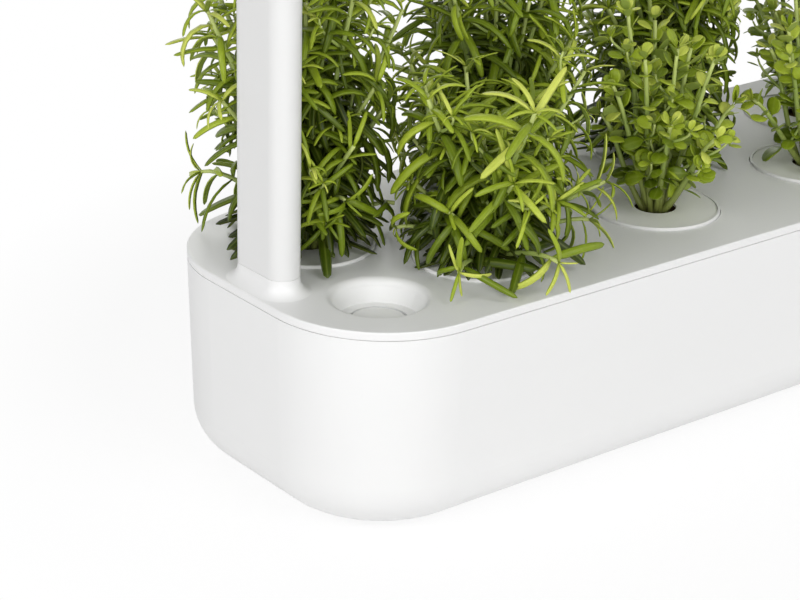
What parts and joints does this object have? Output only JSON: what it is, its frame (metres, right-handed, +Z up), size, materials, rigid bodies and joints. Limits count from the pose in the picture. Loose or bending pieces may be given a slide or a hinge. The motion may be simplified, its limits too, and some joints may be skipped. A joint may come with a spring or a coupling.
{
  "type": "countertop hydroponic garden",
  "caption": "White countertop planter with a water tank, a lid with a float inlet, lift-out plant cups with leafy herbs, and a grow light bar on two removable posts.",
  "frame": {"origin": "on the surface the feet stand on, under the middle of the body", "axes": "+X along the body to the right, +Y to the back, +Z up"},
  "size_m": [0.61, 0.185, 0.3961],
  "materials": {
    "body_plastic": "satin moulded, white",
    "cup_plastic": "satin moulded, white",
    "cover_plastic": "matte moulded, off-white",
    "float_plastic": "smooth moulded, light grey-white",
    "foot_rubber": "matte",
    "soil": "moist peat, crumbly",
    "foliage": "leafy, satin, with fine stems",
    "diffuser_plastic": "frosted, translucent white",
    "spreader_aluminium": "brushed",
    "board_white": "white solder mask",
    "led_resin": "clear resin over phosphor",
    "screw_steel": "zinc plated",
    "board_green": "green solder mask",
    "button_plastic": "polished moulded, white",
    "black_plastic": "matte moulded, black",
    "lead_rubber": "matte insulation"
  },
  "bodies": {
    "tank": {"tank": "body_plastic", "feet": "foot_rubber"},
    "lid": {"lid": "body_plastic", "float_cage": "body_plastic"},
    "float": {"float": "float_plastic"},
    "planter_1": {"cup_1": "cup_plastic", "soil_pod_1": "soil", "pod_cover_1": "cover_plastic", "plant_1": "foliage"},
    "planter_2": {"cup_2": "cup_plastic", "soil_pod_2": "soil", "pod_cover_2": "cover_plastic", "plant_2": "foliage"},
    "planter_3": {"cup_3": "cup_plastic", "soil_pod_3": "soil", "pod_cover_3": "cover_plastic", "plant_3": "foliage"},
    "planter_4": {"cup_4": "cup_plastic", "soil_pod_4": "soil", "pod_cover_4": "cover_plastic", "plant_4": "foliage"},
    "planter_5": {"cup_5": "cup_plastic", "soil_pod_5": "soil", "pod_cover_5": "cover_plastic", "plant_5": "foliage"},
    "planter_6": {"cup_6": "cup_plastic", "soil_pod_6": "soil", "pod_cover_6": "cover_plastic", "plant_6": "foliage"},
    "planter_7": {"cup_7": "cup_plastic", "soil_pod_7": "soil", "pod_cover_7": "cover_plastic", "plant_7": "foliage"},
    "planter_8": {"cup_8": "cup_plastic", "soil_pod_8": "soil", "pod_cover_8": "cover_plastic", "plant_8": "foliage"},
    "planter_9": {"cup_9": "cup_plastic", "soil_pod_9": "soil", "pod_cover_9": "cover_plastic", "plant_9": "foliage"},
    "posts": {"post_left": "body_plastic", "post_right": "body_plastic"},
    "lamp": {"lamp_leg_left": "body_plastic", "lamp_leg_right": "body_plastic", "leg_screws": "screw_steel", "lamp_shell": "body_plastic", "diffuser": "diffuser_plastic", "heat_spreader": "spreader_aluminium", "led_board": "board_white", "leds": "led_resin", "spreader_screws": "screw_steel", "driver_board": "board_green", "driver_screws": "screw_steel", "button_switch": "black_plastic", "dc_inlet": "black_plastic", "lamp_leads": "lead_rubber"},
    "button": {"power_button": "button_plastic"}
  },
  "joints": [
    {"name": "lid_lift", "type": "slide", "parent": "tank", "child": "lid", "axis": [0, 0, 1], "range_m": [0, 0.12]},
    {"name": "float_rise", "type": "slide", "parent": "lid", "child": "float", "axis": [0, 0, 1], "range_m": [0, 0.0089]},
    {"name": "planter_1_lift", "type": "slide", "parent": "lid", "child": "planter_1", "axis": [0, 0, 1], "range_m": [0, 0.08]},
    {"name": "planter_2_lift", "type": "slide", "parent": "lid", "child": "planter_2", "axis": [0, 0, 1], "range_m": [0, 0.08]},
    {"name": "planter_3_lift", "type": "slide", "parent": "lid", "child": "planter_3", "axis": [0, 0, 1], "range_m": [0, 0.08]},
    {"name": "planter_4_lift", "type": "slide", "parent": "lid", "child": "planter_4", "axis": [0, 0, 1], "range_m": [0, 0.08]},
    {"name": "planter_5_lift", "type": "slide", "parent": "lid", "child": "planter_5", "axis": [0, 0, 1], "range_m": [0, 0.08]},
    {"name": "planter_6_lift", "type": "slide", "parent": "lid", "child": "planter_6", "axis": [0, 0, 1], "range_m": [0, 0.08]},
    {"name": "planter_7_lift", "type": "slide", "parent": "lid", "child": "planter_7", "axis": [0, 0, 1], "range_m": [0, 0.08]},
    {"name": "planter_8_lift", "type": "slide", "parent": "lid", "child": "planter_8", "axis": [0, 0, 1], "range_m": [0, 0.08]},
    {"name": "planter_9_lift", "type": "slide", "parent": "lid", "child": "planter_9", "axis": [0, 0, 1], "range_m": [0, 0.08]},
    {"name": "posts_pull", "type": "slide", "parent": "lid", "child": "posts", "axis": [0, 0, 1], "range_m": [0, 0.024]},
    {"name": "lamp_pull", "type": "slide", "parent": "posts", "child": "lamp", "axis": [0, 0, 1], "range_m": [0, 0.024]},
    {"name": "button_press", "type": "slide", "parent": "lamp", "child": "button", "axis": [0, 0, -1], "range_m": [0, 0.0012], "stiffness_N_per_m": 300, "springref_m": -0.002}
  ]
}
